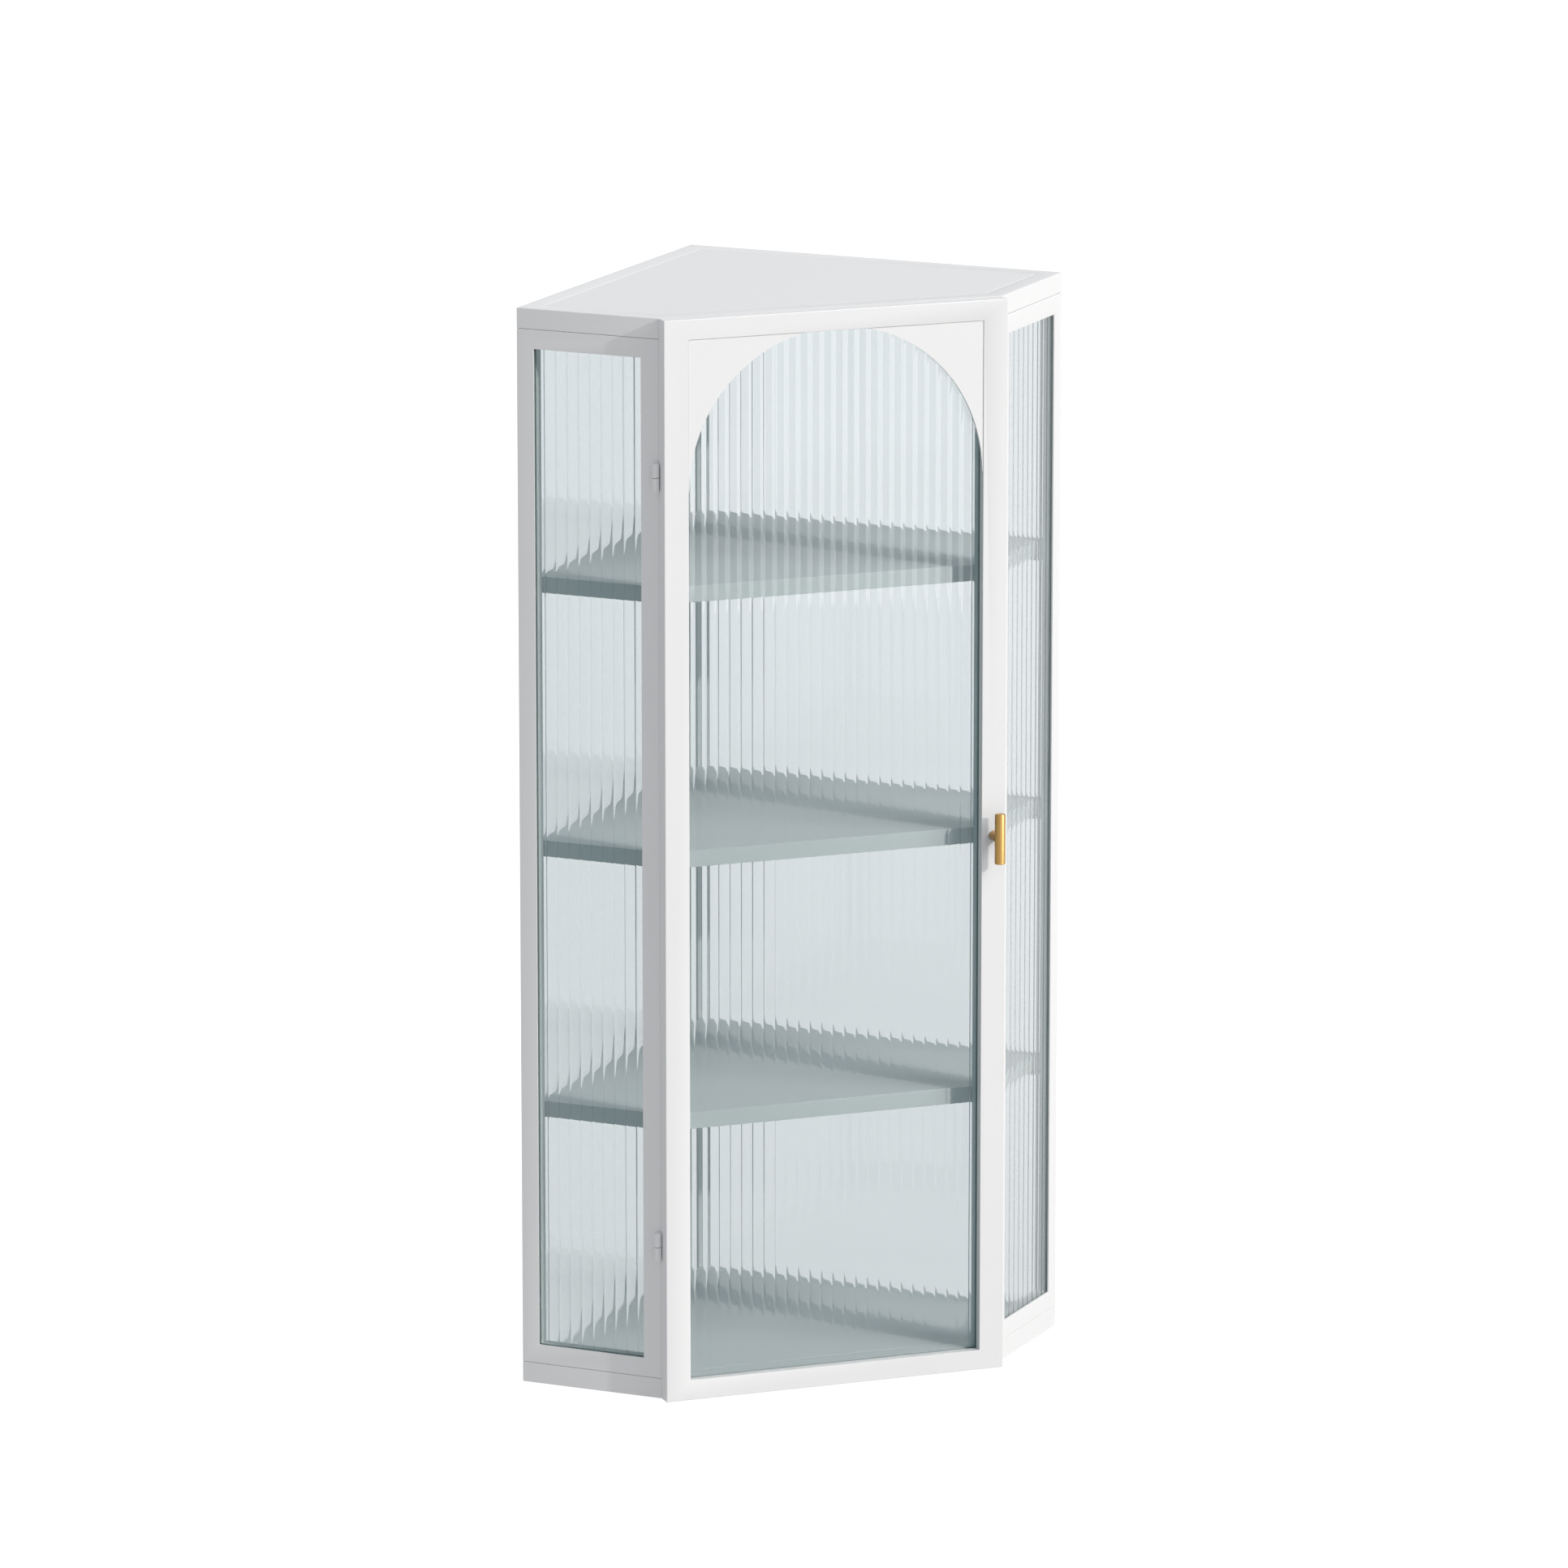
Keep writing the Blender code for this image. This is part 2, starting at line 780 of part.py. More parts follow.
def door_glazing():
    """The fluted pane in the rebate, flutes outwards, and the bead behind it."""
    cover = door_glass_cover - fit_gap
    low_x = -door_half_width + door_stile_face - cover
    width = -2 * low_x
    low = door_rail_face - cover
    glass_front = door_ledge_depth + fit_gap
    glass_back_y = door_front_y + glass_front + glass_thickness
    outline = shifted(fluted_outline(width, glass_back_y - hinge_axis.y, -1), low_x - hinge_axis.x)
    prism("door_glass", [outline], low, cabinet_height - low, parent=door_body, material=glass)

    bead_outside = rectangle(low_x, -low_x, low, cabinet_height - low)
    bead_inside = inset(bead_outside, cover)
    bead_front = glass_front + glass_thickness + fit_gap
    door_piece(
        "door_bead", [bead_outside, bead_inside], bead_front, door_thickness, material=bead_rubber
    )


def arch_corners():
    """Two plates that fill the corners of the window and leave an arch whose crown meets the rail."""
    half_window = door_half_width - door_stile_face
    radius = half_window - fit_gap - arch_tip
    rail = cabinet_height - door_rail_face
    centre = rail - math.sqrt(radius**2 - (arch_flat / 2) ** 2)
    top = rail - fit_gap
    outer = half_window - fit_gap
    last = math.asin((top - centre) / radius)
    for side, hand in (("left", -1), ("right", 1)):
        arc = [
            (
                hand * radius * math.cos(last * step / arch_segments),
                centre + radius * math.sin(last * step / arch_segments),
            )
            for step in range(arch_segments + 1)
        ]
        outline = [(hand * outer, centre), *arc, (hand * outer, top)]
        door_piece(
            f"arch_corner_{side}",
            [outline],
            arch_setback,
            arch_setback + arch_plate,
            material=paint,
        )


def knob(frame):
    """A T-shaped knob: a bar on a stem, held by a screw whose head bears inside the stile."""
    face_y = door_front_y - hinge_axis.y
    spot = Vector((knob_x - hinge_axis.x, face_y, knob_height))
    out = Vector((0, -1, 0))
    bar_centre = spot + out * knob_standoff
    half = knob_bar_length / 2
    round_arc = [
        (
            knob_bar_radius - knob_bar_round * (1 - math.sin(angle)),
            half - knob_bar_round * (1 - math.cos(angle)),
        )
        for angle in (step * math.pi / 2 / knob_round_steps for step in range(knob_round_steps + 1))
    ]
    bar_profile = [(0, half), *round_arc, *[(r, -z) for r, z in reversed(round_arc)], (0, -half)]
    bar = turned("knob_bar", bar_profile, bar_centre, parent=door_body, material=brass)
    spigot_tip = knob_standoff - knob_bar_radius + knob_spigot_length
    socket = rod(
        "knob_bar_socket",
        knob_spigot_radius + fit_gap,
        bar_centre - out * (knob_bar_radius + cutter_overrun),
        spot + out * (spigot_tip + fit_gap),
        parent=door_body,
        cutter=True,
    )
    cut(bar, socket)

    # The stem is turned about the axis that leaves the door, then saddled to the bar
    stem_end = knob_standoff - knob_bar_radius * diagonal_share
    bore = knob_screw_radius + fit_gap
    bore_end = knob_screw_engagement + 2 * fit_gap
    stem_profile = [
        (0, spigot_tip),
        (knob_spigot_radius, spigot_tip),
        (knob_spigot_radius, stem_end),
        (knob_stem_radius, stem_end),
        (knob_stem_radius, fit_gap),
        (bore, fit_gap),
        (bore, bore_end),
        (0, bore_end),
    ]
    lying = (math.pi / 2, 0, 0)
    stem = turned("knob_stem", stem_profile, spot, lying, parent=door_body, material=brass)
    saddle = saddle_cutter(spot, bar_centre)
    cut(stem, saddle)

    screw_seat = tube_wall + fit_gap
    screw_profile = [
        (0, knob_screw_engagement),
        (knob_screw_radius, knob_screw_engagement),
        (knob_screw_radius, -screw_seat),
        (knob_screw_head_radius, -screw_seat),
        (knob_screw_head_radius, -screw_seat - knob_screw_head),
        (0, -screw_seat - knob_screw_head),
    ]
    turned("knob_screw", screw_profile, spot, lying, parent=door_body, material=steel)
    # One stepped drilling: the screw's hole in front and the access hole for its head behind
    hole = knob_screw_radius + fit_gap
    access = knob_screw_head_radius + 2 * fit_gap
    drilling_profile = [
        (0, cutter_overrun),
        (hole, cutter_overrun),
        (hole, -door_thickness / 2),
        (access, -door_thickness / 2),
        (access, -door_thickness - cutter_overrun),
        (0, -door_thickness - cutter_overrun),
    ]
    drilling = turned(
        "knob_screw_drilling", drilling_profile, spot, lying, parent=door_body, cutter=True
    )
    drill(frame, drilling)


def saddle_cutter(spot, bar_centre):
    """A pipe with the bar's radius inside that takes the stem's end down to a saddle round its spigot."""
    half = Vector((0, 0, knob_stem_radius + cutter_overrun))
    clear = rod(
        "knob_stem_saddle",
        knob_bar_radius + fit_gap,
        bar_centre - half,
        bar_centre + half,
        parent=door_body,
        cutter=True,
    )
    keep = rod(
        "knob_stem_spigot_guard",
        knob_spigot_radius,
        spot,
        bar_centre,
        parent=door_body,
        cutter=True,
    )
    cut(clear, keep)
    return clear


def magnetic_catch(frame):
    """A sleeve and magnet pressed into the right landing, facing a strike disc let into the door."""
    spot = Vector((catch_x, front_y, catch_height))
    inwards = Vector((0, 1, 0))
    facing = (math.pi / 2, 0, 0)
    socket = rod(
        "catch_socket",
        catch_body_radius + fit_gap,
        spot - inwards * cutter_overrun,
        spot + inwards * (catch_body_length + fit_gap),
        cutter=True,
    )
    drill(bpy.data.objects["right_side_frame"], socket)
    magnet_floor = catch_magnet_length + fit_gap
    sleeve_profile = [
        (0, -magnet_floor),
        (catch_magnet_radius + fit_gap, -magnet_floor),
        (catch_magnet_radius + fit_gap, 0),
        (catch_body_radius, 0),
        (catch_body_radius, -catch_body_length),
        (0, -catch_body_length),
    ]
    turned("catch_sleeve", sleeve_profile, spot, facing, parent=case_body, material=plastic)
    magnet_profile = [
        (0, 0),
        (catch_magnet_radius, 0),
        (catch_magnet_radius, -catch_magnet_length),
        (0, -catch_magnet_length),
    ]
    turned("catch_magnet", magnet_profile, spot, facing, parent=case_body, material=steel)

    back = Vector((catch_x - hinge_axis.x, door_back_y - hinge_axis.y, catch_height))
    recess = rod(
        "strike_recess",
        strike_radius + fit_gap,
        back + inwards * cutter_overrun,
        back - inwards * (strike_thickness + fit_gap),
        parent=door_body,
        cutter=True,
    )
    drill(frame, recess)
    strike_profile = [
        (0, strike_thickness),
        (strike_radius, strike_thickness),
        (strike_radius, 0),
        (0, 0),
    ]
    turned("strike_plate", strike_profile, back, facing, parent=door_body, material=steel)


cabinet, cutters = start_collections()
paint = finish("white_paint", (0.86, 0.86, 0.87), 0.45)
glass = finish("fluted_glass", (0.83, 0.90, 0.91), 0.03, transmission=1.0)
brass = finish("brushed_brass", (0.78, 0.56, 0.27), 0.28, metallic=1.0)
steel = finish("zinc_steel", (0.62, 0.63, 0.64), 0.35, metallic=1.0)
bead_rubber = finish("glazing_bead", (0.80, 0.81, 0.81), 0.60)
plastic = finish("catch_plastic", (0.85, 0.85, 0.84), 0.50)

case_body = bpy.data.objects.new("case_body", None)
door_body = bpy.data.objects.new("door_body", None)
post_frame = bpy.data.objects.new("post_frame", None)
for empty in (case_body, door_body, post_frame):
    cabinet.objects.link(empty)
door_body.location = hinge_axis.to_3d()
post_frame.parent = case_body
post_frame.location = corner.to_3d()
post_frame.rotation_euler = (0, 0, -3 * math.pi / 4)

top_base = cabinet_height - cap_height
top_cap = ring_cap("top_frame", top_base)
bottom_cap = ring_cap("bottom_frame", 0)
wall_fixing_holes(top_cap, top_base)
cap_tray("top_panel", top_base)
cap_tray("bottom_panel", 0)

end_panel("left", 1, left_wall_edge, -math.pi / 4)
end_panel("right", -1, right_wall_edge, -3 * math.pi / 4)
rear_post()
back_pane("left", -1, left_wall_edge, math.pi / 4)
back_pane("right", 1, right_wall_edge, 3 * math.pi / 4)
for shelf_name, shelf_bottom in zip(shelf_names, shelf_bottoms):
    shelf(shelf_name, shelf_bottom)

framed_door = door_frame()
door_glazing()
arch_corners()
knob(framed_door)
magnetic_catch(framed_door)
for hinge_level, hinge_height in hinge_heights.items():
    hinge(hinge_level, hinge_height)

for piece in cabinet.objects:
    if piece.type == "MESH" and piece.parent is None:
        piece.parent = case_body
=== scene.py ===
import math

import bmesh
import bpy
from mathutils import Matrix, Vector


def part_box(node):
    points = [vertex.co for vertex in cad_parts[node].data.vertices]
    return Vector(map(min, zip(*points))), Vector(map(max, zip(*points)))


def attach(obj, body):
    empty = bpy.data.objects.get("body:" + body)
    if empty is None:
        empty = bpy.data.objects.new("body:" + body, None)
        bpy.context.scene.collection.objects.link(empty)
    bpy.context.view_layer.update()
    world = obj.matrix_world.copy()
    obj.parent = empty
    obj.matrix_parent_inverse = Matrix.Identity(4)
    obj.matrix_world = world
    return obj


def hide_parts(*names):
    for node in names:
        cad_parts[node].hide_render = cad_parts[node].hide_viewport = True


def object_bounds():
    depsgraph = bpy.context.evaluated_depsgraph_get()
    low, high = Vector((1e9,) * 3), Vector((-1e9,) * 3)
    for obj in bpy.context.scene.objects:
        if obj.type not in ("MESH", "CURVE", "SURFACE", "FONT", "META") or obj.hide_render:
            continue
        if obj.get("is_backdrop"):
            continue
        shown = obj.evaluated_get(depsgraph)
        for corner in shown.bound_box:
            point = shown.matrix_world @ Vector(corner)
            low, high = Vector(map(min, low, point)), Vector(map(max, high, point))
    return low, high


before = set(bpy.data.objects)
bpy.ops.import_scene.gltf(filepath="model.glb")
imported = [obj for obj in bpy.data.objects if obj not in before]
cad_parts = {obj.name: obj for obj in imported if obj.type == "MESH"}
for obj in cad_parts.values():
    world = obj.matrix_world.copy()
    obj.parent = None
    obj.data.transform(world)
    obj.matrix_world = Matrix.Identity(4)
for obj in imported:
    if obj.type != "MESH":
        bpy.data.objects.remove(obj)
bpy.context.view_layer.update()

# Camera
# The photograph is taken from the left of the door and from above, through a long lens.
# Its place was solved from the case's corners, and it needs no shift.
view_yaw = math.radians(20.85)
view_pitch = math.radians(12.68)
view_distance = 9.676
view_centre = Vector((0.0234, 0.0135, 0.5596))
view_lens = 224.6
view_direction = Vector(
    (
        math.sin(view_yaw) * math.cos(view_pitch),
        math.cos(view_yaw) * math.cos(view_pitch),
        -math.sin(view_pitch),
    )
)
camera = bpy.data.objects.new("camera", bpy.data.cameras.new("camera"))
camera.data.lens = view_lens
camera.location = view_centre - view_direction * view_distance
camera.rotation_euler = (math.pi / 2 - view_pitch, 0, -view_yaw)
bpy.context.scene.collection.objects.link(camera)
bpy.context.scene.camera = camera


# Top and bottom caps
# Each cap is a channel of 1.5 mm sheet steel folded round the plan and welded at its corners, with its
# edges eased before the whole case is powder coated white. A folded tray lies in each of them.
weld = 0.00001
coat_colour = (0.868, 0.869, 0.875, 1)
coat_dull_share = 0.985
coat_ease = 0.0006
flat_angle = math.radians(1)
sharp_angle = math.radians(30)
shading_angle = math.radians(20)


def value_group(name, numbers, outputs):
    """A shader node group with named number inputs and outputs, and its inner start and end nodes."""
    group = bpy.data.node_groups.new(name, "ShaderNodeTree")
    for label, default in numbers.items():
        socket = group.interface.new_socket(name=label, in_out="INPUT", socket_type="NodeSocketFloat")
        socket.default_value = default
    for label in outputs:
        group.interface.new_socket(name=label, in_out="OUTPUT", socket_type="NodeSocketFloat")
    return group, group.nodes.new("NodeGroupInput"), group.nodes.new("NodeGroupOutput")


def orange_peel_group():
    """The fine dimpled skin of a baked powder coat, with a slow drift in its gloss."""
    group, given, made = value_group(
        "orange_peel", {"Dimples per metre": 900, "Drift per metre": 9}, ["Height", "Gloss drift"]
    )
    place = group.nodes.new("ShaderNodeTexCoord")
    dimples = group.nodes.new("ShaderNodeTexNoise")
    dimples.inputs["Detail"].default_value = 1.5
    drift = group.nodes.new("ShaderNodeTexNoise")
    drift.inputs["Detail"].default_value = 3
    join = group.links.new
    for noise, label in ((dimples, "Dimples per metre"), (drift, "Drift per metre")):
        join(place.outputs["Object"], noise.inputs["Vector"])
        join(given.outputs[label], noise.inputs["Scale"])
    join(dimples.outputs["Fac"], made.inputs["Height"])
    join(drift.outputs["Fac"], made.inputs["Gloss drift"])
    return group


def new_material(name):
    """A material and its Principled shader."""
    made = bpy.data.materials.new(name)
    made.use_nodes = True
    return made, made.node_tree.nodes["Principled BSDF"]


def spread(material, source, target, low, high):
    """Lets a mask from 0 to 1 drive a socket between two values."""
    ranged = material.node_tree.nodes.new("ShaderNodeMapRange")
    ranged.inputs["To Min"].default_value = low
    ranged.inputs["To Max"].default_value = high
    material.node_tree.links.new(source, ranged.inputs["Value"])
    material.node_tree.links.new(ranged.outputs["Result"], target)


def tint_between(material, source, target, colour_a, colour_b):
    """Lets a mask from 0 to 1 drive a colour socket between two colours."""
    mix = material.node_tree.nodes.new("ShaderNodeMix")
    mix.data_type = "RGBA"
    mix.inputs["A"].default_value = colour_a
    mix.inputs["B"].default_value = colour_b
    material.node_tree.links.new(source, mix.inputs["Factor"])
    material.node_tree.links.new(mix.outputs["Result"], target)


def bump(material, source, shader, distance, strength):
    """Lets a height drive the shader's normal."""
    made = material.node_tree.nodes.new("ShaderNodeBump")
    made.inputs["Distance"].default_value = distance
    made.inputs["Strength"].default_value = strength
    material.node_tree.links.new(source, made.inputs["Height"])
    material.node_tree.links.new(made.outputs["Normal"], shader.inputs["Normal"])


def skinned(name, dull, bright, smooth, rough):
    """Paint or plastic whose colour and gloss drift a little, its shader, and the group behind that."""
    made, shader = new_material(name)
    peel = made.node_tree.nodes.new("ShaderNodeGroup")
    peel.node_tree = orange_peel
    tint_between(made, peel.outputs["Gloss drift"], shader.inputs["Base Color"], dull, bright)
    spread(made, peel.outputs["Gloss drift"], shader.inputs["Roughness"], smooth, rough)
    return made, shader, peel


def cad_shape(node):
    """A merged copy of a node's mesh, with its flat faces joined up."""
    shape = bmesh.new()
    shape.from_mesh(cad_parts[node].data)
    bmesh.ops.remove_doubles(shape, verts=shape.verts, dist=weld)
    bmesh.ops.dissolve_limit(shape, angle_limit=flat_angle, verts=shape.verts, edges=shape.edges)
    return shape


def ease_edges(shape, radius, shortest):
    """Rounds the long sharp edges of a shape, and leaves those of its small holes."""
    sharp = [
        edge
        for edge in shape.edges
        if len(edge.link_faces) == 2
        and edge.calc_face_angle(0) > sharp_angle
        and edge.calc_length() > shortest
    ]
    bmesh.ops.bevel(
        shape,
        geom=sharp,
        offset=radius,
        offset_type="OFFSET",
        affect="EDGES",
        segments=2,
        profile=0.5,
        material=-1,
        clamp_overlap=True,
    )


def add_piece(name, shape, body, material, nodes):
    """Makes a finished piece of a shape that stands for some of the frame's nodes and rides on a body."""
    mesh = bpy.data.meshes.new(name)
    shape.to_mesh(mesh)
    shape.free()
    mesh.shade_smooth()
    mesh.set_sharp_from_angle(angle=shading_angle)
    mesh.materials.append(material)
    piece = bpy.data.objects.new(name, mesh)
    bpy.context.scene.collection.objects.link(piece)
    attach(piece, body)
    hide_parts(*nodes)


def add_coated(node, body, radius, shortest):
    """Adds a steel piece of the node's own shape, eased and powder coated."""
    eased = cad_shape(node)
    ease_edges(eased, radius, shortest)
    add_piece(node + "_steel", eased, body, white_coat, [node])


orange_peel = orange_peel_group()
coat_dull = (*(channel * coat_dull_share for channel in coat_colour[:3]), 1)
white_coat, shader, peel = skinned("white_powder_coat", coat_dull, coat_colour, smooth=0.36, rough=0.48)
bump(white_coat, peel.outputs["Height"], shader, distance=0.00012, strength=0.25)
for node in ("top_frame", "top_panel", "bottom_frame", "bottom_panel"):
    add_coated(node, "case", coat_ease, shortest=0.01)


# End panels
# Each is a frame of welded steel tube and angle with a 2 mm lip in front of the glass, bolted between the
# caps. Its front stile turns 45 degrees behind the door as the landing that the door shuts on.
for side in ("left", "right"):
    add_coated(side + "_side_frame", "case", coat_ease, shortest=0.0125)


# Fluted glass
# All five panes are 4 mm clear glass, rolled on one face with slender ribs 12 mm apart and shallow hollows
# between them, the two at the back with hardly any relief, and cut to size.
# The iron in it gives it a faint blue-green cast that deepens wherever it is seen edge on.
glass_thickness = 0.004
flute_pitch = 0.012
flute_hollow = 0.00015
rib_height = 0.0004
rib_foot = 0.62
rib_curve = 1.5
back_relief = 0.06
flute_facets = 24
glass_ior = 1.5
glass_tint = (0.76, 0.79, 0.8, 1)
lamp_tint = (0.98, 1, 1, 1)
sky_tint = (0.5, 0.63, 0.64, 1)


def fluted_glass():
    """Clear glass that passes most of a lamp's light but less of the sky's to what stands behind it."""
    made, shader = new_material("fluted_glass")
    shader.inputs["Base Color"].default_value = glass_tint
    shader.inputs["Transmission Weight"].default_value = 1
    shader.inputs["IOR"].default_value = glass_ior
    shader.inputs["Roughness"].default_value = 0
    nodes = made.node_tree.nodes
    join = made.node_tree.links.new
    path = nodes.new("ShaderNodeLightPath")
    clear = nodes.new("ShaderNodeBsdfTransparent")
    tint_between(made, path.outputs["Is Diffuse Ray"], clear.inputs["Color"], lamp_tint, sky_tint)
    either = nodes.new("ShaderNodeMath")
    either.operation = "MAXIMUM"
    join(path.outputs["Is Shadow Ray"], either.inputs[0])
    join(path.outputs["Is Diffuse Ray"], either.inputs[1])
    chosen = nodes.new("ShaderNodeMixShader")
    join(either.outputs["Value"], chosen.inputs["Fac"])
    join(shader.outputs["BSDF"], chosen.inputs[1])
    join(clear.outputs["BSDF"], chosen.inputs[2])
    join(chosen.outputs["Shader"], nodes["Material Output"].inputs["Surface"])
    return made


def fluted_pane(node, start, along, flutes_towards):
    """A pane drawn in plan from one lower corner of its flat face, flutes on the other, then raised."""
    low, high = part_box(node)
    # A pane at 45 degrees fills its box with its width and its thickness, both foreshortened alike
    extent = max(high.x - low.x, high.y - low.y)
    width = extent * (abs(along.x) + abs(along.y)) - (glass_thickness if along.y else 0)
    relief = back_relief if "back" in node else 1
    flutes = round(width / flute_pitch)
    pitch = width / flutes
    plan = [start]
    for step in range(flutes * flute_facets + 1):
        flute, facet = divmod(step, flute_facets)
        # From one rib's crest at -1 to the next at 1, with the points gathered towards the crests
        share = math.sin((facet / flute_facets - 0.5) * math.pi)
        rise = max(0, (abs(share) - rib_foot) / (1 - rib_foot)) ** rib_curve
        fall = relief * (flute_hollow * (1 - share**2) + rib_height * (1 - rise))
        run = (flute + (1 + share) / 2) * pitch
        plan.append(start + along * run + flutes_towards * (glass_thickness - fall))
    plan.append(start + along * width)
    shape = bmesh.new()
    foot = shape.faces.new([shape.verts.new(place) for place in plan])
    raised = bmesh.ops.extrude_face_region(shape, geom=[foot])["geom"]
    lifted = [vert for vert in raised if isinstance(vert, bmesh.types.BMVert)]
    bmesh.ops.translate(shape, verts=lifted, vec=(0, 0, high.z - low.z))
    bmesh.ops.recalc_face_normals(shape, faces=shape.faces)
    return shape


fluted = fluted_glass()
diagonal = math.sqrt(0.5)
pane_runs = {
    "left_side_glass": (Vector((diagonal, -diagonal, 0)), Vector((diagonal, diagonal, 0))),
    "right_side_glass": (Vector((-diagonal, -diagonal, 0)), Vector((-diagonal, diagonal, 0))),
    "left_back_glass": (Vector((diagonal, diagonal, 0)), Vector((diagonal, -diagonal, 0))),
    "right_back_glass": (Vector((-diagonal, diagonal, 0)), Vector((-diagonal, -diagonal, 0))),
}
for node, (along, flutes_towards) in pane_runs.items():
    low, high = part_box(node)
    # The flat face begins at a side of the box, held off its corner by the pane's foreshortened thickness
    start = Vector((low.x if along.x > 0 else high.x, low.y if along.y > 0 else high.y, low.z))
    start.y += math.copysign(glass_thickness * diagonal, along.y)
    pane = fluted_pane(node, start, along, flutes_towards)
    add_piece(node.replace("glass", "pane"), pane, "case", fluted, [node])

low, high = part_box("door_glass")
door_pane = fluted_pane("door_glass", Vector((low.x, high.y, low.z)), Vector((1, 0, 0)), Vector((0, -1, 0)))
add_piece("door_pane", door_pane, "door", fluted, ["door_glass"])


# Glazing beads
# A pale strip moulded in soft vinyl is pushed in behind each framed pane, all round it, and holds it
# against the lip.
vinyl_dull = (0.74, 0.75, 0.75, 1)
vinyl_bright = (0.8, 0.81, 0.81, 1)


def repaint(node, material):
    """Gives a node that keeps its own mesh its finish."""
    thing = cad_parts[node]
    thing.data.materials.clear()
    thing.data.materials.append(material)


vinyl, shader, peel = skinned("glazing_vinyl", vinyl_dull, vinyl_bright, smooth=0.55, rough=0.7)
peel.inputs["Dimples per metre"].default_value = 2500
bump(vinyl, peel.outputs["Height"], shader, distance=0.0001, strength=0.2)
for node in ("left_side_bead", "right_side_bead", "door_bead"):
    repaint(node, vinyl)


# Rear post
# A chamfered steel tube stands in the room corner, coated like the rest and bolted between the caps. It
# has a groove on each side for a back pane.
thin_ease = 0.0003
add_coated("rear_post", "case", thin_ease, shortest=0.02)


# Shelves
# Three trays folded from 1.2 mm sheet steel, welded at their corners and powder coated. Each lies loose on
# five pegs and can be lifted out through the door.
for level in ("lower", "middle", "upper"):
    add_coated(level + "_shelf", "case", thin_ease, shortest=0.01)


# Pegs, bolts and pins
# Turned steel with a bright zinc plate: the shelves' pegs pushed into the uprights, the bolts that join
# the uprights to the caps, the hinges' loose pins, the knob's screw and the catch's two discs.
zinc_dark = (0.55, 0.56, 0.58, 1)
zinc_bright = (0.68, 0.69, 0.7, 1)


def brushed_lines_group():
    """Fine parallel scratches, long one way and close together the other."""
    group, given, made = value_group(
        "brushed_lines", {"Across per metre": 9000, "Along per metre": 120}, ["Height", "Streak"]
    )
    place = group.nodes.new("ShaderNodeTexCoord")
    stretch = group.nodes.new("ShaderNodeVectorMath")
    stretch.operation = "MULTIPLY"
    scale = group.nodes.new("ShaderNodeCombineXYZ")
    noise = group.nodes.new("ShaderNodeTexNoise")
    noise.inputs["Scale"].default_value = 1
    noise.inputs["Detail"].default_value = 2
    join = group.links.new
    join(given.outputs["Across per metre"], scale.inputs["X"])
    join(given.outputs["Across per metre"], scale.inputs["Y"])
    join(given.outputs["Along per metre"], scale.inputs["Z"])
    join(place.outputs["Object"], stretch.inputs[0])
    join(scale.outputs["Vector"], stretch.inputs[1])
    join(stretch.outputs["Vector"], noise.inputs["Vector"])
    join(noise.outputs["Fac"], made.inputs["Height"])
    join(noise.outputs["Fac"], made.inputs["Streak"])
    return group


def brushed_metal(name, dark, bright, smooth, rough):
    """Bare metal, brushed up and down."""
    made, shader = new_material(name)
    shader.inputs["Metallic"].default_value = 1
    lines = made.node_tree.nodes.new("ShaderNodeGroup")
    lines.node_tree = brushed_lines
    tint_between(made, lines.outputs["Streak"], shader.inputs["Base Color"], dark, bright)
    spread(made, lines.outputs["Streak"], shader.inputs["Roughness"], smooth, rough)
    bump(made, lines.outputs["Height"], shader, distance=0.00004, strength=0.3)
    return made, shader


brushed_lines = brushed_lines_group()
zinc, shader = brushed_metal("zinc_plate", zinc_dark, zinc_bright, smooth=0.3, rough=0.45)
zinc_nodes = [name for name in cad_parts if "_peg_" in name or "_bolt_" in name]
zinc_nodes += ["lower_hinge_pin", "upper_hinge_pin", "knob_screw", "catch_magnet", "strike_plate"]
for node in zinc_nodes:
    repaint(node, zinc)


# Door
# Stiles and rails of welded tube with a deep ledge in front of the glass, and two plates that fill the
# window's top corners and leave the arched head.
add_coated("door_frame", "door", coat_ease, shortest=0.012)
for side in ("left", "right"):
    node = "arch_corner_" + side
    add_piece(node + "_plate", cad_shape(node), "door", white_coat, [node])


# Bullet hinges
# Each is two turned steel knuckles on a loose pin, the lower one welded to the case and the upper one to
# the door before they are coated, so that the door lifts off.
def turned_shape(profile, centre, axis, segments):
    """A profile of radius and distance along the axis, spun once round it."""
    shape = bmesh.new()
    sideways = axis.orthogonal().normalized()
    points = [shape.verts.new(centre + sideways * radius + axis * place) for radius, place in profile]
    line = [shape.edges.new(pair) for pair in zip(points, points[1:])]
    bmesh.ops.spin(
        shape,
        geom=points + line,
        cent=centre,
        axis=axis,
        angle=math.tau,
        steps=segments,
        use_merge=True,
    )
    bmesh.ops.remove_doubles(shape, verts=shape.verts, dist=weld / 10)
    bmesh.ops.recalc_face_normals(shape, faces=shape.faces)
    return shape


def rounded(radius, end, fillet, steps=5):
    """The quarter round from the side of a bar to its flat end, as radius and place along it."""
    return [
        (
            radius - fillet * (1 - math.cos(turn)),
            end - fillet * (1 - math.sin(turn)),
        )
        for turn in (step / steps * math.pi / 2 for step in range(steps + 1))
    ]


